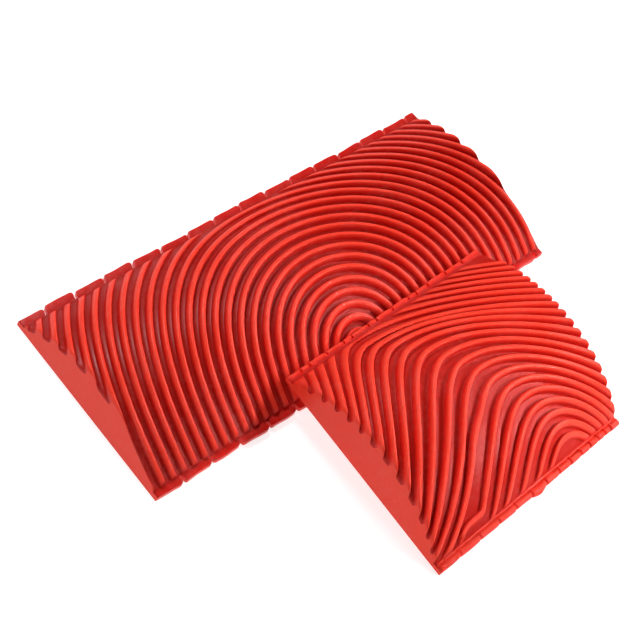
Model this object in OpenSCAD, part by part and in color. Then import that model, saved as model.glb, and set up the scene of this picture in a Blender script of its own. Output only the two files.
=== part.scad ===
// Pair of moulded rubber graining rockers: a long ring-pattern pad and a short arch-pattern pad.
// The short pad leans on the long one. Millimetres, Z up, base of the long pad on z = 0.

/* [Long pad] */
// length along the rocking axis
large_l = 155; // [110:1:200]
// width across both lips
large_w = 64; // [50:1:84]
// height of the groove floor above the lips
large_rise = 10; // [7:0.5:14]
// bull's-eye centre along the length, from the middle
ring_x = 0.5; // [-20:0.5:20]
// bull's-eye centre in from the front lip
ring_in = 1.2; // [0:0.2:12]
// radius of the centre dot
ring_first = 1.2; // [0.8:0.1:2]
// step from one ring to the next
ring_pitch = 3.66; // [3.2:0.02:5]

/* [Short pad] */
// length along the rocking axis
small_l = 80; // [60:1:110]
// width across both lips
small_w = 68; // [54:1:84]
// height of the groove floor above the lips
small_rise = 13; // [8:0.5:16]
// number of nested arch ridges
arch_n = 22; // [12:1:22]

/* [Ridges] */
// height of a ridge at the top of the curve
ridge_h = 2; // [1.4:0.1:2.8]
// height of a ridge where it stops at a lip
ridge_low = 1.2; // [0.6:0.1:1.4]
// width of a ridge
ridge_w = 1.8; // [1.2:0.1:2.2]

/* [Lips] */
// width of the flat lip along each long edge
lip_w = 2.8; // [2.2:0.1:4.5]
// thickness of the lip
lip_t = 2; // [1.4:0.1:3.2]
// width of a comb slit
slit_w = 1; // [0.6:0.1:1.6]
// step between slits on the long pad
slit_pitch = 10; // [6:0.5:16]
// first slit from the left end of the long pad
slit_first = 9.2; // [5:0.2:14]
// radius of the bead on the short pad's front lip
bead_r = 1.2; // [1:0.05:1.6]
// how far the bead stands above the lip
bead_up = 0.5; // [0.2:0.05:0.8]

/* [Back] */
// rubber left between groove floor and hollow
wall = 4; // [2.5:0.5:6]
// thickness of the closed ends at the base
end_wall = 7; // [5:0.5:12]
// thickness of the finger rib down the middle
grip_t = 6; // [4:0.5:12]
// lean of the end faces from upright
end_lean = 10; // [0:1:16]

/* [Resting] */
// reach of the short pad's back edge over the long pad
lean_in = 8.5; // [6:0.5:11]
// middle of the short pad along the long pad
lean_x = 11.4; // [-30:0.2:30]
// turn of the short pad seen from above
lean_turn = 2.2; // [0:0.2:4]
// clearance between the two pads
lean_gap = 0.4; // [0.3:0.05:1]

/* [Hidden] */
$fn = 96;

// taller than either pad, for cutting shapes
tall = 40;
// sink of the ridges into the pad under them
root = 0.5;
// part of the lip that a slit leaves whole
slit_stop = 0.4;
// no slit closer to an end than this
slit_end = 4;

function arc_r(half, rise) = (half * half + rise * rise) / (2 * rise);

large_half = large_w / 2 - lip_w;

ring_y = -large_half + ring_in;
ring_far = norm([large_l / 2 + abs(ring_x), large_half - ring_y]);
ring_n = ceil(ring_far / ring_pitch);

slit_l = lip_w - slit_stop;
slit_n = floor((large_l - slit_first - slit_end) / slit_pitch);

// crest of the long pad under the short pad's highest back corner
crest_top = lip_t + large_rise + ridge_h;
crest_r = arc_r(large_half, large_rise + ridge_h - ridge_low);
lean_y = -large_w / 2 + lean_in;
touch_y = lean_y + small_l / 2 * sin(lean_turn);
touch_z = crest_top - crest_r + sqrt(crest_r * crest_r - touch_y * touch_y) + lean_gap;
tilt = asin(touch_z / small_w);

// short pad arches, laid out on an 80 x 68 pad and stretched to the sizes above
// arch k has its apex on a bent line, a steep left leg and a long right leg, both hyperbolas
plan_l = 80;
plan_w = 68;
sx = small_l / plan_l;
sy = small_w / plan_w;
arch_last = 15;
apex_along = [-2.7, -26, -1, 4];
apex_across = [12.2, 41.8, -12.6, -12.3];
apex_step = [-0.8, 3.4];
function cubic(c, t) = c[0] + c[1] * t + c[2] * t * t + c[3] * t * t * t;
function arch_t(k) = (min(k, arch_last) - 10) / 10;
function arch_past(k) = max(0, k - arch_last);
function arch_inner(k) = pow(max(0, 4.5 - k), 2);
function apex_x(k) = cubic(apex_along, arch_t(k)) + apex_step[0] * arch_past(k);
function apex_y(k) = cubic(apex_across, arch_t(k)) + apex_step[1] * arch_past(k);
slope_left = [1.5, 0.25, 0.1];
slope_right = [1.2, -0.8, 0.02];
function slope(c, k) = c[0] + c[1] * arch_t(k) + c[2] * arch_inner(k);
function slope_l(k) = slope(slope_left, k);
function slope_r(k) = slope(slope_right, k);
bend_l = 14.5;
function bend_r(k) = 31 + 11 * arch_t(k);
// left legs of the arches near the seventh swing out before they reach the end
wave_mid = 7;
wave_spread = 2.8;
wave_from = -14;
wave_rate = 0.018;
function wave_share(k) = exp(-pow((k - wave_mid) / wave_spread, 2));
function wave(k, x) = wave_rate * wave_share(k) * pow(max(0, wave_from - x), 2);
function leg_drop(m, c, d) = m * (sqrt(d * d + c * c) - c);
function leg_reach(m, c, q) = sqrt(pow(c + q / m, 2) - c * c);
function arch_y(k, x) = let (d = x - apex_x(k)) apex_y(k) + wave(k, x)
    - (d < 0 ? leg_drop(slope_l(k), bend_l, d) : leg_drop(slope_r(k), bend_r(k), d));
// points of arch k, n steps each side of the apex, run on past the edges of the pad
run_on = 2;
arch_steps = 10;
function arch_pts(k, n) = let (q = apex_y(k) + plan_w / 2 + run_on,
    a = min(plan_l / 2 + run_on + apex_x(k), leg_reach(slope_l(k), bend_l, q)),
    b = min(plan_l / 2 + run_on - apex_x(k), leg_reach(slope_r(k), bend_r(k), q)))
    [for (i = [-n:n]) let (x = apex_x(k) + i / n * (i < 0 ? a : b)) [x * sx, arch_y(k, x) * sy]];
// the left leg of the hooked arch turns along the front lip before it ends there
hook_arch = 6;
hook_from = -17;
hook_at = [[-29.3, -31.5], [-27.2, -28.6], [-25.4, -28], [-19, -28]];
function hooked(p) = concat([for (h = hook_at) [h[0] * sx, h[1] * sy]],
    [for (q = p) if (q[0] > hook_from * sx) q]);
function ridge_pts(k) = let (p = arch_pts(k, arch_steps)) k == hook_arch ? hooked(p) : p;
function beside(p, i, w) = let (d = p[min(len(p) - 1, i + 1)] - p[max(0, i - 1)])
    p[i] + w * [-d[1], d[0]] / norm(d);

// slits of the short pad: an uneven comb at the back, one that gets finer at the front
back_first = -35.3;
back_unit = 3.38;
back_units = [0, 1, 3, 5, 6, 8, 9, 11, 13, 14, 15.5, 17.8, 20];
front_first = -31.6;
front_n = 13;
front_gap = 8.75;
front_closing = 0.26;
function front_at(i) = front_first + front_gap * i - front_closing * i * i;

// cylinder lying along X with its axis at height z
module bar_x(r, l, z) {
    translate([0, 0, z]) rotate([0, 90, 0]) cylinder(r = r, h = l, center = true);
}

// block whose two end faces lean inwards
module end_block(l, w, h) {
    d = h * tan(end_lean);
    rotate([90, 0, 0]) linear_extrude(height = w, center = true)
        polygon([[-l / 2, 0], [l / 2, 0], [l / 2 - d, h], [-l / 2 + d, h]]);
}

// curved pad with lips, two finger hollows and the rib between them
module pad_body(l, w, rise) {
    r = arc_r(w / 2 - lip_w, rise);
    z = lip_t + rise - r;
    difference() {
        intersection() {
            union() {
                bar_x(r, l, z);
                translate([-l / 2, -w / 2, 0]) cube([l, w, lip_t]);
            }
            end_block(l, w, tall);
        }
        for (s = [-1, 1]) intersection() {
            bar_x(r - wall, l - 2 * end_wall, z);
            translate([-l / 2, s > 0 ? grip_t / 2 : -grip_t / 2 - w, -1]) cube([l, w, tall]);
        }
    }
}

// space that the ridges fill, from just under the groove floor up to the crests
module ridge_zone(l, w, rise) {
    half = w / 2 - lip_w;
    r = arc_r(half, rise);
    top = lip_t + rise + ridge_h;
    c = arc_r(half, rise + ridge_h - ridge_low);
    intersection() {
        difference() {
            bar_x(c, l, top - c);
            bar_x(r - root, l + 1, lip_t + rise - r);
        }
        end_block(l, 2 * half, tall);
        translate([-l / 2, -half, lip_t - root]) cube([l, 2 * half, tall]);
    }
}

module ring(k) {
    r = ring_first + k * ring_pitch;
    difference() {
        cylinder(r = r + ridge_w / 2, h = tall);
        if (k > 0) translate([0, 0, -1]) cylinder(r = r - ridge_w / 2, h = tall + 2);
    }
}

module arch(k) {
    p = ridge_pts(k);
    n = len(p) - 1;
    linear_extrude(height = tall) polygon(concat(
        [for (i = [0:n]) beside(p, i, ridge_w / 2)],
        [for (i = [0:n]) beside(p, n - i, -ridge_w / 2)]));
}

module slit(x, y) {
    translate([x - slit_w / 2, y - slit_l, -1]) cube([slit_w, 2 * slit_l, tall]);
}

module large_pad() {
    color([0.85, 0.16, 0.12]) {
        difference() {
            pad_body(large_l, large_w, large_rise);
            for (i = [0:slit_n]) {
                slit(-large_l / 2 + slit_first + i * slit_pitch, large_w / 2);
                slit(-large_l / 2 + slit_first + i * slit_pitch, -large_w / 2);
            }
        }
        intersection() {
            ridge_zone(large_l, large_w, large_rise);
            for (k = [0:ring_n]) translate([ring_x, ring_y, 0]) ring(k);
        }
    }
}

module small_flat() {
    difference() {
        union() {
            pad_body(small_l, small_w, small_rise);
            intersection() {
                translate([0, bead_r - small_w / 2, 0]) bar_x(bead_r, small_l, lip_t - bead_r + bead_up);
                end_block(small_l, small_w, tall);
            }
        }
        for (u = back_units) slit((back_first + back_unit * u) * sx, small_w / 2);
        for (i = [0:front_n - 1]) slit(front_at(i) * sx, -small_w / 2);
    }
    intersection() {
        ridge_zone(small_l, small_w, small_rise);
        for (k = [1:arch_n]) arch(k);
    }
}

module small_pad() {
    color([0.86, 0.18, 0.14])
        translate([lean_x, lean_y, touch_z]) rotate([0, 0, lean_turn]) rotate([tilt, 0, 0])
        translate([0, -small_w / 2, 0]) small_flat();
}

large_pad();
small_pad();
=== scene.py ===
import math

import bmesh
import bpy
from mathutils import Matrix, Vector, noise


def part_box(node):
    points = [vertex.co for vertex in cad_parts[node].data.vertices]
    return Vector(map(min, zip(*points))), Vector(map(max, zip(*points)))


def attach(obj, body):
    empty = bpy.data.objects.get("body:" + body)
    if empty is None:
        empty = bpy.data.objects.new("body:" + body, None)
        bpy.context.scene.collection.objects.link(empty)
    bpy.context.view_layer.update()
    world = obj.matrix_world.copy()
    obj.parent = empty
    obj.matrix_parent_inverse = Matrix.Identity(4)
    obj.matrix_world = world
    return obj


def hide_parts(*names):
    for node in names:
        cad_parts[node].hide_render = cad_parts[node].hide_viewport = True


# a pair of rubber graining rockers, the short one leaning on the long one

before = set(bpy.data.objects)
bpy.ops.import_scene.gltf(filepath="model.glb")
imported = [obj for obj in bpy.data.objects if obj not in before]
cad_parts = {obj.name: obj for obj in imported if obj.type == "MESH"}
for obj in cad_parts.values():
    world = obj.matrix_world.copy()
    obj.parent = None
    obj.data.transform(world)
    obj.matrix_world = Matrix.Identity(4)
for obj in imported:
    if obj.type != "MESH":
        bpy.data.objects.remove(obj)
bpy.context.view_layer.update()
mm = 0.001  # pieces are drawn in millimetres and scaled to metres when they are done


# shapes that both pads share

slack = {  # millimetres, places closer than this count as the same
    "cut": 1e-5,
    "same": 1e-4,
    "lip": 1e-3,
    "end": 2e-3,
    "base": 0.12,  # joins crowded points along the base, so that it fills cleanly
}
bothPads = {
    "ridgeHigh": 2,  # at the top of the curve
    "ridgeLow": 1.2,  # at the lips
    "ridgeEndRound": 1.2,
    "ridgeEndLoops": [0.08, 0.3, 0.65, 1.2],  # cuts along the rounded ridge ends, in from the lip
    "overhang": 1,  # the flat pattern runs past the ends by this much until they are cut
    "rightRound": 0.4,
    "endLoops": [0.1, 0.3, 0.6, 1],  # cuts along a rounded end, as shares of its radius
    "lipThick": 2,
    "lipRound": 0.3,  # share of the end's rounding that a lip gets
    "rimBand": 0.25,  # height over which the colour of the walls takes over
    "edgeWave": 6,
    "sharpFrom": 40,  # edges that turn by more degrees than this stay sharp
}
ridgeShape = {
    "crestRadius": 0.75,
    "crestSteps": 6,
    "flankAngle": 76,
    "footRadius": 0.25,
    "footSteps": 3,
    "floorDip": 0.12,
}
hollowShape = {
    "wall": 4,
    "endWall": 7,
    "ribThick": 6,
    "steps": 14,
    "middleHigh": 1,  # a height inside the hollow, about which its outline is put in order
    "cornerFrom": 34,  # edges that turn by more degrees than this are rounded
    "round": 1,
    "roundSteps": 3,
}
tabNoise = {  # steps that keep the lips and their tabs apart in the noise
    "edgeSide": 7.3,
    "tabSide": 3.1,
    "tabStep": 1.7,
}


def arcRadius(half, rise):
    return (half * half + rise * rise) / (2 * rise)


def arcHeight(y, half, rise):  # height of a shallow arc over its chord
    radius = arcRadius(half, rise)
    return math.sqrt(max(0, radius * radius - y * y)) - radius + rise


def ridgeHalf(high):  # half a ridge as (distance from its middle, height), crest to foot
    shape = ridgeShape
    flank = math.radians(shape["flankAngle"])
    crest, foot = shape["crestRadius"], shape["footRadius"]
    points = []
    for i in range(shape["crestSteps"] + 1):
        turn = flank * i / shape["crestSteps"]
        points.append((crest * math.sin(turn), high - crest * (1 - math.cos(turn))))
    drop = points[-1][1] - foot * (1 - math.cos(flank))
    out = points[-1][0] + drop / math.tan(flank)
    for i in range(shape["footSteps"] + 1):
        turn = flank * (1 - i / shape["footSteps"])
        points.append((out + foot * (math.sin(flank) - math.sin(turn)), foot * (1 - math.cos(turn))))
    return points


def ridgeHeight(rows, away):  # height of a ridge's section at a distance from its middle
    for (s, high), (nextS, nextHigh) in zip(rows, rows[1:]):
        if away < nextS:
            return high + (nextHigh - high) * (away - s) / (nextS - s)
    return 0


def segmentDistance(point, start, end):
    run = end - start
    share = max(0, min(1, (point - start).dot(run) / run.length_squared))
    return (point - start - run * share).length


def unique(items):  # each item once, in an order that doesn't change from run to run
    return list(dict.fromkeys(items))


def byPlace(verts):  # so that merging close vertices doesn't depend on how they are stored
    return sorted(verts, key=lambda v: tuple(v.co))


def everything(bm):
    return bm.verts[:] + bm.edges[:] + bm.faces[:]


def cut(bm, point, normal, clear=True, geom=None):
    return bmesh.ops.bisect_plane(bm, geom=geom or everything(bm), dist=slack["cut"], plane_co=point,
                                  plane_no=normal, clear_outer=clear)["geom"]


def endNormal(pad, side):
    lean = math.radians(pad["endLean"])
    return Vector((side * math.cos(lean), 0, math.sin(lean)))


def endDepth(pad, co, side):  # how far a point lies inside the leaning end face
    return (Vector((side * pad["long"] / 2, 0, 0)) - co).dot(endNormal(pad, side))


def quarterRound(depth, radius):  # drop of a rounded edge at this depth from it
    inside = min(radius, max(0, radius - depth))
    return radius - math.sqrt(radius * radius - inside * inside)


def faceHalf(pad):
    return (pad["wide"] - pad["frontLipWide"] - pad["backLipWide"]) / 2


def faceMiddle(pad):  # how far the middle of the ridged face lies from the middle of the pad
    return (pad["frontLipWide"] - pad["backLipWide"]) / 2


def wrapOntoArc(bm, pad):  # bends the flat ridge pattern over the pad and rounds the ridge ends off
    half = faceHalf(pad)
    share = bm.verts.layers.float["ridge"]
    for back in (-1, 1):
        for inset in pad["ridgeEndLoops"]:
            cut(bm, (0, back * (half - inset), 0), (0, back, 0), clear=False)
    crestRise = pad["rise"] + pad["ridgeHigh"] - pad["ridgeLow"]
    for v in bm.verts:
        y = max(-half, min(half, v.co.y))
        high = pad["ridgeLow"] + arcHeight(y, half, crestRise) - arcHeight(y, half, pad["rise"])
        inset = min(half - abs(y), pad["ridgeEndRound"]) / pad["ridgeEndRound"]
        fade = math.sqrt(max(0, 1 - (1 - inset) ** 2))
        v[share] = v.co.z / pad["ridgeHigh"] * fade
        v.co.z = pad["lipThick"] + arcHeight(y, half, pad["rise"]) + v[share] * high


def sideName(back):
    return "back" if back > 0 else "front"


def addLip(bm, pad, back):  # strip of lip from the ridged face out to the edge
    half = faceHalf(pad)
    share = bm.verts.layers.float["ridge"]
    rim = [e for e in bm.edges if e.is_boundary]
    edges = [e for e in rim if all(abs(v.co.y - back * half) < slack["same"] for v in e.verts)]
    faces = []
    for out, high in pad[sideName(back) + "Lip"]:
        made = bmesh.ops.extrude_edge_only(bm, edges=edges)["geom"]
        edges = [g for g in made if isinstance(g, bmesh.types.BMEdge)]
        faces += [g for g in made if isinstance(g, bmesh.types.BMFace)]
        for v in unique(v for e in edges for v in e.verts):
            v.co.y = back * (half + out)
            v.co.z = high
            # the lips take a set ridge level, which paints them lighter or darker as light or shade
            v[share] = pad["lipPaintedLevel"]
    print(pad["name"], sideName(back), "lip has", len(faces), "faces")


def cutEnds(bm, pad):  # leaning end faces with a rounded top edge
    for side in (-1, 1):
        radius = pad["rightRound"] if side > 0 else pad["leftRound"]
        normal = endNormal(pad, side)
        corner = Vector((side * pad["long"] / 2, 0, 0))
        cut(bm, corner, normal)
        for inset in pad["endLoops"]:
            cut(bm, corner - normal * inset * radius, normal, clear=False)
        for v in bm.verts:
            depth = endDepth(pad, v.co, side)
            if depth < radius:
                rounding = min(1, max(0, v.co.z - pad["lipThick"]) + pad["lipRound"])
                drop = quarterRound(depth, radius) * rounding
                v.co.z -= drop
                v.co.x += side * drop * math.tan(math.radians(pad["endLean"]))


def lipFaces(bm, pad, back):
    half = faceHalf(pad)
    return [f for f in bm.faces if back * f.calc_center_median().y > half + slack["lip"]]


def cutSlits(bm, pad, back):  # comb slits, with the tabs between them rounded at their corners
    half = faceHalf(pad)
    name = sideName(back)
    slits, slitHalf = pad[name + "Slits"], pad[name + "SlitWide"] / 2
    slant = math.tan(math.radians(pad["slitSlant"]))
    turn = Vector((1, -back * slant, 0)).normalized()
    edge = back * (half + pad[name + "LipWide"])
    faces = lipFaces(bm, pad, back)
    parts = unique(p for f in faces for p in list(f.verts) + list(f.edges)) + faces
    for x in slits:
        for side in (-1, 1):
            for reach in [0] + pad["tabLoops"]:
                spot = (x + side * (slitHalf + reach), edge, 0)
                parts = cut(bm, spot, turn, clear=False, geom=parts)
    root = half + pad[name + "SlitStop"]
    cut(bm, (0, back * root, 0), (0, back, 0), clear=False, geom=parts)
    gone = []
    for f in lipFaces(bm, pad, back):
        co = f.calc_center_median()
        along = [abs(co.x - x - back * slant * (co.y - edge)) for x in slits]
        if back * co.y > root and min(along) < slitHalf:
            gone.append(f)
    bmesh.ops.delete(bm, geom=gone, context="FACES")
    for v in unique(v for f in lipFaces(bm, pad, back) for v in f.verts):
        out = back * v.co.y - half
        if out < slack["lip"]:
            continue
        x = v.co.x - back * slant * (v.co.y - edge)
        gap = max(0, min(abs(x - s) for s in slits) - slitHalf)
        loss = quarterRound(gap, pad["tabRound"]) if gap < pad["tabRound"] else 0
        tab = sum(x > s for s in slits)
        ripple = noise.noise(Vector((x / pad["edgeWave"], back * tabNoise["edgeSide"], pad["seed"])))
        uneven = noise.noise(Vector((tab * tabNoise["tabStep"], back * tabNoise["tabSide"], pad["seed"])))
        flash = sum(far * math.exp(-((x - at) / wide) ** 2) for at, wide, far in pad[name + "Flash"])
        wave = ripple * pad["edgeWavy"] + uneven * pad["tabUneven"] + flash
        v.co.y = back * (half + out * (1 + (wave - loss) / pad[name + "LipWide"]))


def closeSides(bm, pad):  # walls from the outline down to the base, the ends along their lean
    rim = [e for e in bm.edges if e.is_boundary]
    slope = math.tan(math.radians(pad["endLean"]))
    share = bm.verts.layers.float["ridge"]
    for base in (False, True):
        made = bmesh.ops.extrude_edge_only(bm, edges=rim)["geom"]
        rim = [g for g in made if isinstance(g, bmesh.types.BMEdge)]
        for v in [g for g in made if isinstance(g, bmesh.types.BMVert)]:
            drop = v.co.z if base else pad["rimBand"]
            for side in (-1, 1):
                if abs(endDepth(pad, v.co, side)) < slack["end"]:
                    v.co.x += side * drop * slope
                    break
            v.co.z -= drop
            v[share] = 1


def addHollow(bm, pad, back):  # one finger hollow beside the rib
    shape = hollowShape
    radius = arcRadius(faceHalf(pad), pad["rise"]) - shape["wall"]
    middle = pad["lipThick"] + pad["rise"] - shape["wall"] - radius
    outer = math.sqrt(radius * radius - middle * middle)
    rib = shape["ribThick"] / 2
    points = [(rib, 0)]
    for i in range(shape["steps"] + 1):
        y = rib + (outer - rib) * i / shape["steps"]
        points.append((y, middle + math.sqrt(max(0, radius * radius - y * y))))
    points[-1] = (outer, 0)
    reach = pad["long"] / 2 - shape["endWall"]
    share = bm.verts.layers.float["ridge"]
    chain = [bm.verts.new((-reach, back * y, z)) for y, z in points]
    for v in chain:
        v[share] = 1
    edges = [bm.edges.new(pair) for pair in zip(chain, chain[1:])]
    made = bmesh.ops.extrude_edge_only(bm, edges=edges)["geom"]
    far = [g for g in made if isinstance(g, bmesh.types.BMVert)]
    bmesh.ops.translate(bm, verts=far, vec=(2 * reach, 0, 0))
    walls = [g for g in made if isinstance(g, bmesh.types.BMFace)]
    halfWay = (rib + outer) / 2
    for x in (-reach, reach):
        ring = [v for v in chain + far if abs(v.co.x - x) < slack["same"]]
        ring.sort(key=lambda v: math.atan2(v.co.z - shape["middleHigh"], back * v.co.y - halfWay))
        walls.append(bm.faces.new(ring))
    bmesh.ops.recalc_face_normals(bm, faces=walls)
    inner = unique(e for f in walls for e in f.edges if not e.is_boundary)
    corners = [e for e in inner if e.calc_face_angle(0) > math.radians(shape["cornerFrom"])]
    bmesh.ops.bevel(bm, geom=corners, offset=shape["round"], segments=shape["roundSteps"], profile=0.5,
                    affect="EDGES", material=-1)


def closeBase(bm):  # one flat face around the hollows
    low = byPlace(v for v in bm.verts if abs(v.co.z) < slack["same"])
    bmesh.ops.remove_doubles(bm, verts=low, dist=slack["base"])
    rim = [e for e in bm.edges if e.is_boundary and all(abs(v.co.z) < slack["same"] for v in e.verts)]
    bmesh.ops.triangle_fill(bm, use_beauty=True, edges=rim, normal=(0, 0, -1))


def finishPiece(bm, pad, material):
    bmesh.ops.remove_doubles(bm, verts=byPlace(bm.verts), dist=slack["same"])
    bmesh.ops.dissolve_degenerate(bm, edges=bm.edges, dist=slack["same"])
    bmesh.ops.recalc_face_normals(bm, faces=bm.faces)
    openEdges = sum(1 for e in bm.edges if not e.is_manifold)
    bmesh.ops.translate(bm, verts=bm.verts, vec=(0, faceMiddle(pad), 0))
    bmesh.ops.transform(bm, matrix=pad["place"], verts=bm.verts)
    for v in bm.verts:
        v.co.z = max(0, v.co.z)  # lies flat where it touches the floor
    bmesh.ops.scale(bm, vec=(mm, mm, mm), verts=bm.verts)
    for e in bm.edges:
        e.smooth = e.calc_face_angle(0) < math.radians(pad["sharpFrom"])
    for f in bm.faces:
        f.smooth = True
    mesh = bpy.data.meshes.new(pad["name"])
    bm.to_mesh(mesh)
    bm.free()
    mesh.materials.append(material)
    piece = bpy.data.objects.new(pad["name"], mesh)
    bpy.context.scene.collection.objects.link(piece)
    weights = piece.modifiers.new("cleanNormals", "WEIGHTED_NORMAL")
    weights.keep_sharp = True
    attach(piece, pad["body"])
    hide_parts(pad["node"])
    print(pad["name"], "has", len(mesh.polygons), "faces,", openEdges, "open edges")


# red rubber

rubberLook = {
    "levels": (-0.06, 1.08),  # ridge levels of the first and the last stop
    "stops": [  # colour by ridge level, painted shade and light: darkest at the flank foot where shade falls, a little lighter on the floor, brightest on the crest, and a pink painted highlight on flash above it
        (0, (0.46, 0.016, 0.011, 1)),
        (0.055, (0.40, 0.007, 0.004, 1)),
        (0.35, (0.55, 0.009, 0.005, 1)),
        (0.86, (0.86, 0.044, 0.022, 1)),
        (0.94, (0.86, 0.044, 0.022, 1)),
        (1, (0.92, 0.28, 0.23, 1)),
    ],
    "dust": (0.80, 0.30, 0.26, 1),
    "dustMost": 0.08,
    "dustRange": (0.2, 0.45),
    "roughness": 0.38,
    "roughCloud": 0.2,
    "roughFleck": 0.1,
    "specular": 0.16,
    "cloudScale": 90,
    "cloudDetail": 3,
    "fleckScale": 700,
    "fleckDetail": 4,
    "grainScale": 2600,
    "grainDetail": 2,
    "noiseMiddle": 0.5,
    "bump": 0.12,
    "bumpDeep": 0.2 * mm,
    "bumpFleck": 2,
}
shortLook = {  # lighter copy of the rubber for the short pad: the painted shade in its grooves is lighter, as if better lit, and it is less shiny
    **rubberLook,
    "specular": 0.1,
    "stops": [
        (0, (0.52, 0.018, 0.011, 1)),
        (0.055, (0.46, 0.010, 0.006, 1)),
        (0.35, (0.60, 0.012, 0.007, 1)),
        (0.86, (0.86, 0.048, 0.025, 1)),
        (0.94, (0.86, 0.048, 0.025, 1)),
        (1, (0.92, 0.28, 0.23, 1)),
    ],
}


class Wire:  # one shader socket, so that maths on it can be written out
    def __init__(self, tree, socket=None):
        self.tree = tree
        self.socket = socket

    def node(self, kind, settings, inputs, out=0):
        made = self.tree.nodes.new("ShaderNode" + kind)
        for name, value in settings.items():
            if name == "stops":
                ramp = made.color_ramp.elements
                while len(ramp) < len(value):
                    ramp.new(0.5)  # put in its place below
                for stop, (place, colour) in zip(ramp, value):
                    stop.position = place
                    stop.color = colour
            else:
                setattr(made, name, value)
        for name, value in inputs.items():
            if isinstance(value, Wire):
                self.tree.links.new(value.socket, made.inputs[name])
            else:
                made.inputs[name].default_value = value
        return Wire(self.tree, made.outputs[out])

    def math(self, operation, first, second):
        return self.node("Math", {"operation": operation}, {0: first, 1: second})

    def __add__(self, other):
        return self.math("ADD", self, other)

    def __sub__(self, other):
        return self.math("SUBTRACT", self, other)

    def __rsub__(self, other):
        return self.math("SUBTRACT", other, self)

    def __mul__(self, other):
        return self.math("MULTIPLY", self, other)

    __radd__ = __add__
    __rmul__ = __mul__

    def mixed(self, low, high):  # colour that goes from low to high with this value
        return self.node("Mix", {"data_type": "RGBA"}, {0: self, 6: low, 7: high}, 2)


def redRubber(name, look):
    material = bpy.data.materials.new(name)
    material.use_nodes = True
    tree = material.node_tree
    shader = tree.nodes["Principled BSDF"]
    wire = Wire(tree)
    place = wire.node("TexCoord", {}, {}, "Object")
    ridge = wire.node("Attribute", {"attribute_name": "ridge"}, {}, "Fac")

    def noiseOf(kind):
        scale, detail = look[kind + "Scale"], look[kind + "Detail"]
        return wire.node("TexNoise", {}, {"Vector": place, "Scale": scale, "Detail": detail}, "Fac")

    cloud, fleck, grain = noiseOf("cloud"), noiseOf("fleck"), noiseOf("grain")
    level = wire.node("MapRange", {}, {0: ridge, 1: look["levels"][0], 2: look["levels"][1]})
    # painted shade in the grooves and painted light on the crests, set by ridge level
    paintedShadeByHeight = wire.node("ValToRGB", {"stops": look["stops"]}, {0: level})
    clean, dirty = look["dustRange"]
    dusty = wire.node("MapRange", {}, {0: cloud * fleck, 1: clean, 2: dirty, 3: 0, 4: look["dustMost"]})
    colour = dusty.mixed(paintedShadeByHeight, look["dust"])
    tree.links.new(colour.socket, shader.inputs["Base Color"])
    middle = look["noiseMiddle"]
    rough = (look["roughness"] + (cloud - middle) * look["roughCloud"]
             + (fleck - middle) * look["roughFleck"])
    tree.links.new(rough.socket, shader.inputs["Roughness"])
    shader.inputs["Specular IOR Level"].default_value = look["specular"]
    skin = grain + look["bumpFleck"] * fleck
    bump = wire.node("Bump", {}, {"Height": skin, "Strength": look["bump"], "Distance": look["bumpDeep"]})
    tree.links.new(bump.socket, shader.inputs["Normal"])
    return material


# long pad with rings

longCorner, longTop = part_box("large_pad")
longPad = {
    **bothPads,
    "name": "longRocker",
    "node": "large_pad",
    "body": "long_rocker",
    "slot": "long_rubber",
    "long": (longTop.x - longCorner.x) / mm,
    "wide": (longTop.y - longCorner.y) / mm,
    "rise": 10,
    "ringX": 0.5,
    "ringIn": 2,
    "ringFirst": 1.2,
    "ringStep": 3.66,
    "spinSteps": 240,
    "frontLipWide": 2,
    "backLipWide": 2.8,
    "frontLip": [(1.8, 2), (2.05, 1.92), (2.2, 1.65)],  # out from the face, height
    "backLip": [(2.4, 2), (2.65, 1.92), (2.8, 1.65)],
    "lipPaintedLevel": 0.35,  # ridge level that gives the lips their colour; low, so the lips are painted dark as shade
    "endLean": 10,
    "leftRound": 0.7,
    "frontSlitWide": 0.8,
    "frontSlitStop": 0.4,
    "backSlitWide": 0.8,
    "backSlitStop": 0.4,
    "frontSlitFirst": -68,
    "backSlitFirst": -69,
    "slitStep": 10.15,
    "slitCount": 15,
    "slitSlant": 12,
    "tabRound": 0.8,
    "tabLoops": [0.1, 0.3, 0.8],
    "edgeWavy": 0.35,
    "tabUneven": 0.7,
    "frontFlash": [],
    "backFlash": [],
    "seed": 3,  # place in the noise
    "place": Matrix.Identity(4),
}
for lipSide in ("back", "front"):
    firstSlit = longPad[lipSide + "SlitFirst"]
    longPad[lipSide + "Slits"] = [firstSlit + longPad["slitStep"] * i
                                  for i in range(longPad["slitCount"])]

nicks = {  # flash left on a few crests behind the bull's-eye, raised over the crest level so that the colour ramp gives it a pink painted highlight
    "x": 0.9,
    "wide": 0.5,
    "from": -20,
    "to": -5,
    "crest": 1.95,
    "high": 0.16,
}


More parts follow.
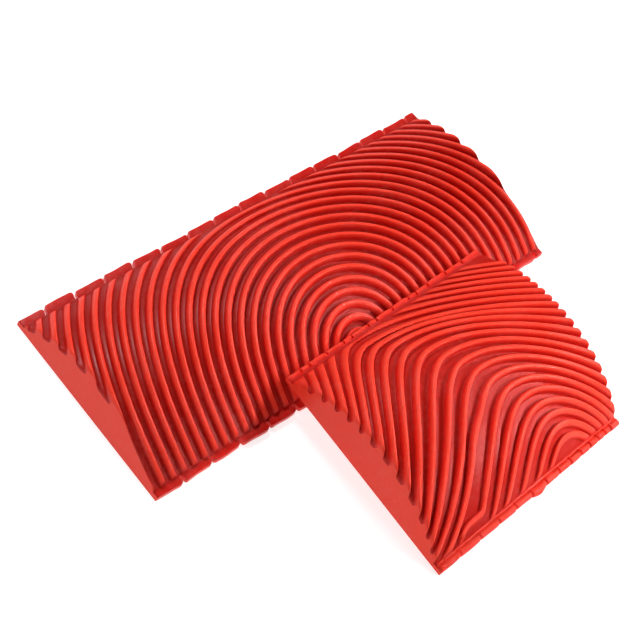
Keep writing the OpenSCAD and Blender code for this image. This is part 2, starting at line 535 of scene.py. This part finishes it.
def ringFace(pad):  # ring ridges spun about the bull's-eye, then cut to the face
    bm = bmesh.new()
    bm.verts.layers.float.new("ridge")
    half = faceHalf(pad)
    centre = Vector((pad["ringX"], pad["ringIn"] - half, 0))
    far = math.hypot(pad["long"] / 2 + abs(centre.x), half - centre.y) + pad["ringStep"]
    rows = ridgeHalf(pad["ridgeHigh"])
    stops = [(0, pad["ridgeHigh"])]
    for k in range(math.ceil(far / pad["ringStep"])):
        middle = pad["ringFirst"] + k * pad["ringStep"]
        if k > 0:
            stops += [(middle - s, high) for s, high in reversed(rows[1:])]
        stops += [(middle + s, high) for s, high in rows]
        stops.append((middle + pad["ringStep"] / 2, -ridgeShape["floorDip"]))
    chain = [bm.verts.new((r, 0, high)) for r, high in stops]
    edges = [bm.edges.new(pair) for pair in zip(chain, chain[1:])]
    bmesh.ops.spin(bm, geom=chain + edges, cent=(0, 0, 0), axis=(0, 0, 1), angle=2 * math.pi,
                   steps=pad["spinSteps"], use_merge=True)
    bmesh.ops.remove_doubles(bm, verts=bm.verts, dist=slack["same"])
    bmesh.ops.translate(bm, verts=bm.verts, vec=centre)
    for v in bm.verts:
        if v.co.z > nicks["crest"] and abs(v.co.x - nicks["x"]) < nicks["wide"] / 2:
            if nicks["from"] < v.co.y < nicks["to"]:
                v.co.z += nicks["high"]
    for side in (-1, 1):
        cut(bm, (side * (pad["long"] / 2 + pad["overhang"]), 0, 0), (side, 0, 0))
        cut(bm, (0, side * half, 0), (0, side, 0))
    return bm


# short pad with arches

shortPad = {
    **bothPads,
    "name": "shortRocker",
    "node": "small_pad",
    "body": "short_rocker",
    "slot": "short_rubber",
    "long": 80,  # the pad lies tilted, so its box in the frame doesn't give its own sizes
    "wide": 68,
    "rise": 13,
    "frontLipWide": 2.8,
    "backLipWide": 2.1,
    "frontLip": [(0.25, 1.85), (0.5, 1.8), (0.7, 2), (1.05, 2.3), (1.6, 2.45), (2.15, 2.3),
                 (2.55, 1.95), (2.8, 1.3)],
    "backLip": [(1.75, 2), (1.95, 1.92), (2.1, 1.65)],
    # a high ridge level paints the bead bright, as painted light
    "lipPaintedLevel": 0.75,
    "endLean": 3,
    "leftRound": 1.2,
    "frontSlitWide": 0.8,
    "frontSlitStop": 0.7,
    "backSlitWide": 0.7,
    "backSlitStop": 1,
    "backSlitFirst": -35.3,
    "backSlitUnit": 3.38,
    "backSlitUnits": (0, 1, 3, 5, 6, 8, 9, 11, 13, 14, 15.5, 17.8, 20),  # uneven comb
    "frontSlitFirst": -31.6,
    "frontSlitStep": 8.75,
    "frontSlitCloser": 0.26,  # the comb gets finer towards the right
    "frontSlitCount": 13,
    "slitSlant": 0,
    "tabRound": 0.5,
    "tabLoops": [0.1, 0.3, 0.5],
    "edgeWavy": 0.2,
    "tabUneven": 0.3,
    "frontFlash": [(2.2, 2.2, 0.9)],  # along the lip, width, how far it bulges
    "backFlash": [],
    "seed": 8,
    "arches": 22,
    "archSteps": 56,
    "cornerArch": 20,  # from here outwards the left legs run together into one smooth corner
    "cornerHigh": 1.5,
    "leanX": 11.4,
    "leanIn": 8.5,  # reach of its back edge over the long pad
    "leanGap": 0.4,
    "turn": 2.2,
}
shortPad["backSlits"] = [shortPad["backSlitFirst"] + shortPad["backSlitUnit"] * unit
                         for unit in shortPad["backSlitUnits"]]
shortPad["frontSlits"] = [shortPad["frontSlitFirst"] + shortPad["frontSlitStep"] * i
                          - shortPad["frontSlitCloser"] * i * i for i in range(shortPad["frontSlitCount"])]


def restingPlace(pad, under):  # front edge on the floor, back edge just over the crests of the other pad
    turn = math.radians(pad["turn"])
    leanY = pad["leanIn"] - under["wide"] / 2
    touchY = leanY + pad["long"] / 2 * math.sin(turn)
    crestRise = under["rise"] + under["ridgeHigh"] - under["ridgeLow"]
    touchZ = (under["lipThick"] + under["ridgeLow"] + arcHeight(touchY, faceHalf(under), crestRise)
              + pad["leanGap"])
    return (Matrix.Translation((pad["leanX"], leanY, touchZ))
            @ Matrix.Rotation(turn, 4, "Z")
            @ Matrix.Rotation(math.asin(touchZ / pad["wide"]), 4, "X")
            @ Matrix.Translation((0, -pad["wide"] / 2, 0)))


shortPad["place"] = restingPlace(shortPad, longPad)

archShape = {
    "apexAlong": (-2.7, -26, -1, 4),  # cubic for the place of the apex along the pad
    "apexAcross": (12.2, 41.8, -12.6, -12.3),  # and across it
    "apexStep": (-0.8, 3.4),
    "middle": 10,  # arch at which the cubics start
    "span": 10,
    "last": 15,  # past this arch the apexes step on evenly
    "innerFrom": 4.5,  # arches inside this one get steeper
    "leftSlope": (1.5, 0.25, 0.1),  # at the middle arch, its change outwards, more for the inner ones
    "rightSlope": (1.2, -0.8, 0.02),
    "leftBend": 14.5,
    "rightBend": (31, 11),  # at the middle arch, its change outwards
    "waveMiddle": 7,  # left legs near this arch swing out before they reach the end
    "waveSpread": 2.8,
    "waveFrom": -14,
    "waveRate": 0.018,
    "swingArch": 7,  # this left leg swings out once more
    "swingSpread": 0.7,
    "swingFrom": -6,
    "swingOver": 8,
    "swing": 2,
    "endRunOn": 8,  # how far the legs run on past the ends and the lips
    "lipRunOn": 20,
    "shortestLeg": 0.5,
    "slopeStep": 0.01,  # step over which the direction of an arch is taken
    "gapShare": 0.46,  # a flank stays on its own side of the groove's middle
    "spare": 4,  # arches past the last one, which keep the corners covered
}
hook = {  # left leg of one arch, which turns along the front lip instead of running out
    "arch": 6,
    "from": -17,
    "path": [(-30, -31.5), (-28.8, -29.6), (-27.6, -28.8), (-25.8, -28.4), (-20.6, -28.3), (-19.7, -28),
             (-19, -27.2)],
    "legSteps": 6,
    "legStep": 0.02,
    "searchStep": 0.005,
    "around": 2,  # margin of the finer mesh
    "cuts": 3,
}


def cubic(terms, t):
    return terms[0] + terms[1] * t + terms[2] * t * t + terms[3] * t ** 3


def archPoint(k, t):  # point of arch k, where t is -1 at the left foot, 0 at the apex, 1 at the right foot
    shape = archShape
    step = (min(k, shape["last"]) - shape["middle"]) / shape["span"]
    past = max(0, k - shape["last"])
    inner = max(0, shape["innerFrom"] - k) ** 2
    apexX = cubic(shape["apexAlong"], step) + shape["apexStep"][0] * past
    apexY = cubic(shape["apexAcross"], step) + shape["apexStep"][1] * past
    slope, bend = shape["leftSlope"], shape["leftBend"]
    if t > 0:
        slope, bend = shape["rightSlope"], shape["rightBend"][0] + shape["rightBend"][1] * step
    fall = slope[0] + slope[1] * step + slope[2] * inner
    depth = apexY + shortPad["wide"] / 2 + shape["lipRunOn"]
    toLip = math.sqrt(max(0, (bend + depth / fall) ** 2 - bend * bend))
    toEnd = shortPad["long"] / 2 + shape["endRunOn"] + (apexX if t < 0 else -apexX)
    along = t * max(shape["shortestLeg"], min(toEnd, toLip))
    x = apexX + along
    spread = math.exp(-((k - shape["waveMiddle"]) / shape["waveSpread"]) ** 2)
    wave = shape["waveRate"] * spread * max(0, shape["waveFrom"] - x) ** 2
    reach = max(0, min(1, (shape["swingFrom"] - x) / shape["swingOver"]))
    swing = shape["swing"] * reach * math.exp(-((k - shape["swingArch"]) / shape["swingSpread"]) ** 2)
    y = apexY + wave + swing - fall * (math.sqrt(along * along + bend * bend) - bend)
    return Vector((x, y - faceMiddle(shortPad), 0))


def archGap(k, t, side):  # distance from arch k to the next one on this side
    here = archPoint(k, t)
    step = archShape["slopeStep"]
    ahead = archPoint(k, t + step) - archPoint(k, t - step)
    across = archPoint(k + side, t) - here
    return abs(ahead.normalized().cross(across).z)


def hookPath():  # points of the hook, on to where the leg it belongs to takes over
    path = [Vector((x, y - faceMiddle(shortPad), 0)) for x, y in hook["path"]]
    t = -1
    while archPoint(hook["arch"], t).x < hook["from"]:
        t += hook["searchStep"]
    return path + [archPoint(hook["arch"], t + hook["legStep"] * i) for i in range(hook["legSteps"])]


def raiseHook(bm, rows):  # finer mesh around the hook, lifted to the ridge's own section
    path = hookPath()
    low = [min(p[i] for p in path) - hook["around"] for i in (0, 1)]
    high = [max(p[i] for p in path) + hook["around"] for i in (0, 1)]

    def near(v):
        return all(low[i] < v.co[i] < high[i] for i in (0, 1))

    edges = [e for e in bm.edges if all(near(v) for v in e.verts)]
    bmesh.ops.subdivide_edges(bm, edges=edges, cuts=hook["cuts"], use_grid_fill=True)
    for v in filter(near, bm.verts):
        flat = Vector((v.co.x, v.co.y, 0))
        away = min(segmentDistance(flat, a, b) for a, b in zip(path, path[1:]))
        v.co.z = max(v.co.z, ridgeHeight(rows, away))


def archFace(pad):  # a grid whose rows follow the arches, then cut to the face
    rows = ridgeHalf(pad["ridgeHigh"])
    lines = [(k, 0, 0) for k in (-1, -0.5)]  # flat rows inside the first arch
    for k in range(pad["arches"] + archShape["spare"]):
        high = 1 if 1 <= k <= pad["arches"] else 0
        lines += [(k, -s, z * high) for s, z in reversed(rows[1:])]
        lines += [(k, s, z * high) for s, z in rows]
        lines.append((k + 0.5, 0, -ridgeShape["floorDip"] * high))
    columns = 2 * pad["archSteps"]
    bm = bmesh.new()
    bm.verts.layers.float.new("ridge")
    bmesh.ops.create_grid(bm, x_segments=columns, y_segments=len(lines) - 1, size=0.5)
    for v in bm.verts:  # places in the grid, from -0.5 to 0.5, give t and the row
        t = v.co.x * 2
        k, out, high = lines[round((v.co.y + 0.5) * (len(lines) - 1))]
        hooked = k == hook["arch"] and t < 0
        if t < 0 and k >= pad["cornerArch"]:
            innerFlank = k == pad["cornerArch"] and out < 0
            high = min(high, pad["cornerHigh"]) if innerFlank else pad["cornerHigh"]
        if out:
            most = archShape["gapShare"]
            k += max(-most, min(most, out / archGap(k, t, math.copysign(1, out))))
        v.co = archPoint(k, t)
        v.co.z = 0 if hooked and v.co.x < hook["from"] else high
    half = faceHalf(pad)
    for side in (-1, 1):
        cut(bm, (side * (pad["long"] / 2 + pad["overhang"]), 0, 0), (side, 0, 0))
        cut(bm, (0, side * half, 0), (0, side, 0))
    raiseHook(bm, rows)
    return bm


def buildPad(pad, bm, material):
    wrapOntoArc(bm, pad)
    for back in (-1, 1):
        addLip(bm, pad, back)
    cutEnds(bm, pad)
    for back in (-1, 1):
        cutSlits(bm, pad, back)
    closeSides(bm, pad)
    for back in (-1, 1):
        addHollow(bm, pad, back)
    closeBase(bm)
    finishPiece(bm, pad, material)


buildPad(longPad, ringFace(longPad), redRubber("longRedRubber", rubberLook))
buildPad(shortPad, archFace(shortPad), redRubber("shortRedRubber", shortLook))


# floor, light and camera, in metres

stageMiddle = Vector((-1.45, -12.36, 0)) * mm  # what the camera and most lights point at
studio = {
    "floorSize": 3,
    "floorGap": 0.05 * mm,  # keeps the floor out of the bases that lie on it
    "floorColour": (0.5, 0.5, 0.5, 1),
    "floorGlow": 0.75,  # keeps the floor pale in the shadows too
    "floorRough": 0.9,
    "world": 0.05,
    "white": (1, 1, 1, 1),
}
softLight = {"distance": 0.9, "spread": 180, "target": stageMiddle}
lights = {
    "backLight": {**softLight, "azimuth": 172, "elevation": 48, "size": 0.2, "power": 4.8},
    "rightLight": {**softLight, "azimuth": 74, "elevation": 36, "size": 0.2, "power": 5.4},
    "leftLight": {**softLight, "azimuth": -92, "elevation": 30, "size": 0.3, "power": 2},
    "shortPadLight": {  # narrow beam on the front of the short pad
        "azimuth": 35,
        "elevation": 40,
        "distance": 0.4,
        "size": 0.06,
        "power": 0.035,
        "spread": 25,
        "target": Vector((35, -75, 10)) * mm,
    },
}
cameraSpot = {
    "azimuth": -62.6,
    "elevation": 54.45,
    "roll": 26.45,
    "distance": 437.25 * mm,
    "target": stageMiddle,
    "lens": 83.61,
    "clipStart": 0.01,
}


def makeFloor():
    bm = bmesh.new()
    bmesh.ops.create_grid(bm, x_segments=1, y_segments=1, size=studio["floorSize"])
    bmesh.ops.translate(bm, verts=bm.verts, vec=(0, 0, -studio["floorGap"]))
    mesh = bpy.data.meshes.new("floor")
    bm.to_mesh(mesh)
    bm.free()
    floor = bpy.data.objects.new("floor", mesh)
    bpy.context.scene.collection.objects.link(floor)
    material = bpy.data.materials.new("paleFloor")
    material.use_nodes = True
    shader = material.node_tree.nodes["Principled BSDF"]
    shader.inputs["Base Color"].default_value = studio["floorColour"]
    shader.inputs["Roughness"].default_value = studio["floorRough"]
    shader.inputs["Emission Color"].default_value = studio["white"]
    shader.inputs["Emission Strength"].default_value = studio["floorGlow"]
    mesh.materials.append(material)


def direction(spot):  # from the target towards a light or the camera
    turn, lift = math.radians(spot["azimuth"]), math.radians(spot["elevation"])
    return Vector((math.sin(turn) * math.cos(lift), -math.cos(turn) * math.cos(lift), math.sin(lift)))


def makeLight(name, spot):
    data = bpy.data.lights.new(name, "AREA")
    data.shape = "DISK"
    data.size = spot["size"]
    data.energy = spot["power"]
    data.spread = math.radians(spot["spread"])
    light = bpy.data.objects.new(name, data)
    bpy.context.scene.collection.objects.link(light)
    towards = direction(spot)
    light.location = spot["target"] + towards * spot["distance"]
    light.rotation_mode = "QUATERNION"
    light.rotation_quaternion = (-towards).to_track_quat("-Z", "Y")


def makeWorld():
    world = bpy.data.worlds.new("studio")
    world.use_nodes = True
    tree = world.node_tree
    background = tree.nodes["Background"]
    background.inputs["Color"].default_value = studio["white"]
    seen = Wire(tree).node("LightPath", {}, {}, "Is Camera Ray")
    strength = studio["world"] + (1 - studio["world"]) * seen  # dim as light, pale behind the floor
    tree.links.new(strength.socket, background.inputs["Strength"])
    bpy.context.scene.world = world


def makeCamera():
    spot = cameraSpot
    back = direction(spot)
    camera = bpy.data.objects.new("camera", bpy.data.cameras.new("camera"))
    camera.data.lens = spot["lens"]
    camera.matrix_world = (Matrix.Translation(spot["target"] + back * spot["distance"])
                           @ (-back).to_track_quat("-Z", "Y").to_matrix().to_4x4()
                           @ Matrix.Rotation(math.radians(spot["roll"]), 4, "Z"))
    camera.data.clip_start = spot["clipStart"]
    bpy.context.scene.collection.objects.link(camera)
    bpy.context.scene.camera = camera


makeFloor()
makeWorld()
for lightName, lightSpot in lights.items():
    makeLight(lightName, lightSpot)
makeCamera()
bpy.context.scene.view_settings.view_transform = "Standard"
print("studio ready")
